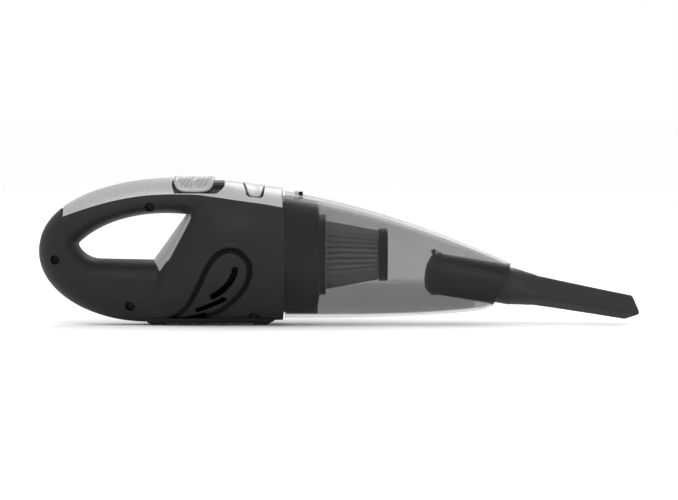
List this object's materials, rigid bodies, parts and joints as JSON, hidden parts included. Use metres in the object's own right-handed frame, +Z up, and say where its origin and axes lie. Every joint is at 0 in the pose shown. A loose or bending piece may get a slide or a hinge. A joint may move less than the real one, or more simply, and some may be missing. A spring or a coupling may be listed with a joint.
{
  "type": "handheld vacuum",
  "caption": "Cordless handheld vacuum with a closed loop handle, silver back, smoked dust cup, pleated filter and a crevice tool in its nozzle.",
  "frame": {"origin": "on the surface the vacuum stands on, under the middle of its whole length and width", "axes": "+X from the handle to the nozzle, +Y across towards the left housing, +Z up"},
  "size_m": [0.4738, 0.0998, 0.1172],
  "materials": {
    "shell_black": "moulded, satin",
    "silver_plastic": "silver lacquered, satin",
    "black_plastic": "moulded, semi-gloss",
    "smoked_clear": "clear smoked, polished",
    "rubber": "matt",
    "paper": "pleated filter paper",
    "steel": "bright",
    "lens": "clear, polished",
    "cell": "shrink sleeve",
    "board": "solder mask",
    "tool_plastic": "moulded, satin"
  },
  "bodies": {
    "housing": {"housing_left": "shell_black", "housing_right": "shell_black", "top_panel": "silver_plastic", "grip_trim": "silver_plastic", "switch_track": "black_plastic", "indicator_lens": "lens", "switch_unit": "black_plastic", "latch_spring": "steel", "fan_cover": "black_plastic", "motor_mount": "black_plastic", "motor_can": "steel", "motor_end_bell": "black_plastic", "motor_damper": "rubber", "battery_cell_1": "cell", "battery_cell_2": "cell", "battery_cell_3": "cell", "battery_cell_4": "cell", "battery_end_rear": "black_plastic", "battery_end_front": "black_plastic", "circuit_board": "board", "charge_jack": "black_plastic", "housing_screw_1": "steel", "housing_screw_2": "steel", "housing_screw_3": "steel", "housing_screw_4": "steel", "foot_pad_1": "rubber", "foot_pad_2": "rubber", "foot_pad_3": "rubber", "foot_pad_4": "rubber"},
    "rotor": {"motor_shaft": "steel", "fan_impeller": "black_plastic"},
    "power_switch": {"power_switch": "silver_plastic"},
    "switch_lever": {"switch_lever": "black_plastic"},
    "release_button": {"release_button": "silver_plastic", "latch_hook": "black_plastic", "latch_plate": "steel"},
    "cup": {"dust_cup": "smoked_clear", "inlet_duct": "black_plastic", "flap_pin": "steel"},
    "flap": {"flap_valve": "rubber"},
    "filter": {"filter_frame": "black_plastic", "filter_seal": "rubber", "filter_pleats": "paper", "filter_core": "black_plastic", "filter_end_cap": "black_plastic"},
    "tool_ring": {"tool_seal_ring": "rubber"},
    "crevice_tool": {"crevice_tool": "tool_plastic"}
  },
  "joints": [
    {"name": "power_switch_slide", "type": "slide", "parent": "housing", "child": "power_switch", "axis": [1, 0, 0], "range_m": [0, 0.007]},
    {"name": "switch_lever_slide", "type": "slide", "parent": "housing", "child": "switch_lever", "axis": [1, 0, 0], "range_m": [0, 0.007]},
    {"name": "release_button_press", "type": "slide", "parent": "housing", "child": "release_button", "axis": [0, 0, -1], "range_m": [0, 0.0045], "stiffness_N_per_m": 600, "deforming": ["latch_spring"]},
    {"name": "cup_release", "type": "slide", "parent": "housing", "child": "cup", "axis": [1, 0, 0], "range_m": [0, 0.13]},
    {"name": "filter_pull", "type": "slide", "parent": "housing", "child": "filter", "axis": [1, 0, 0], "range_m": [0, 0.0585]},
    {"name": "flap_swing", "type": "hinge", "parent": "cup", "child": "flap", "pos_m": [0.07621, 0, 0.0569], "axis": [0, 1, 0], "range_deg": [0, 55]},
    {"name": "tool_pull", "type": "slide", "parent": "cup", "child": "tool_ring", "axis": [0.9863, 0, -0.165], "range_m": [0, 0.04]},
    {"name": "tool_turn", "type": "hinge", "parent": "tool_ring", "child": "crevice_tool", "pos_m": [0.1286, 0, 0.0313], "axis": [0.9863, 0, -0.165], "continuous": true},
    {"name": "fan_spin", "type": "hinge", "parent": "housing", "child": "rotor", "pos_m": [-0.0829, 0, 0.055], "axis": [1, 0, 0], "continuous": true}
  ],
  "couplings": [
    {"joint": "switch_lever_slide", "follows": "power_switch_slide", "ratio": 1},
    {"joint": "filter_pull", "follows": "cup_release", "ratio": 0.45}
  ]
}
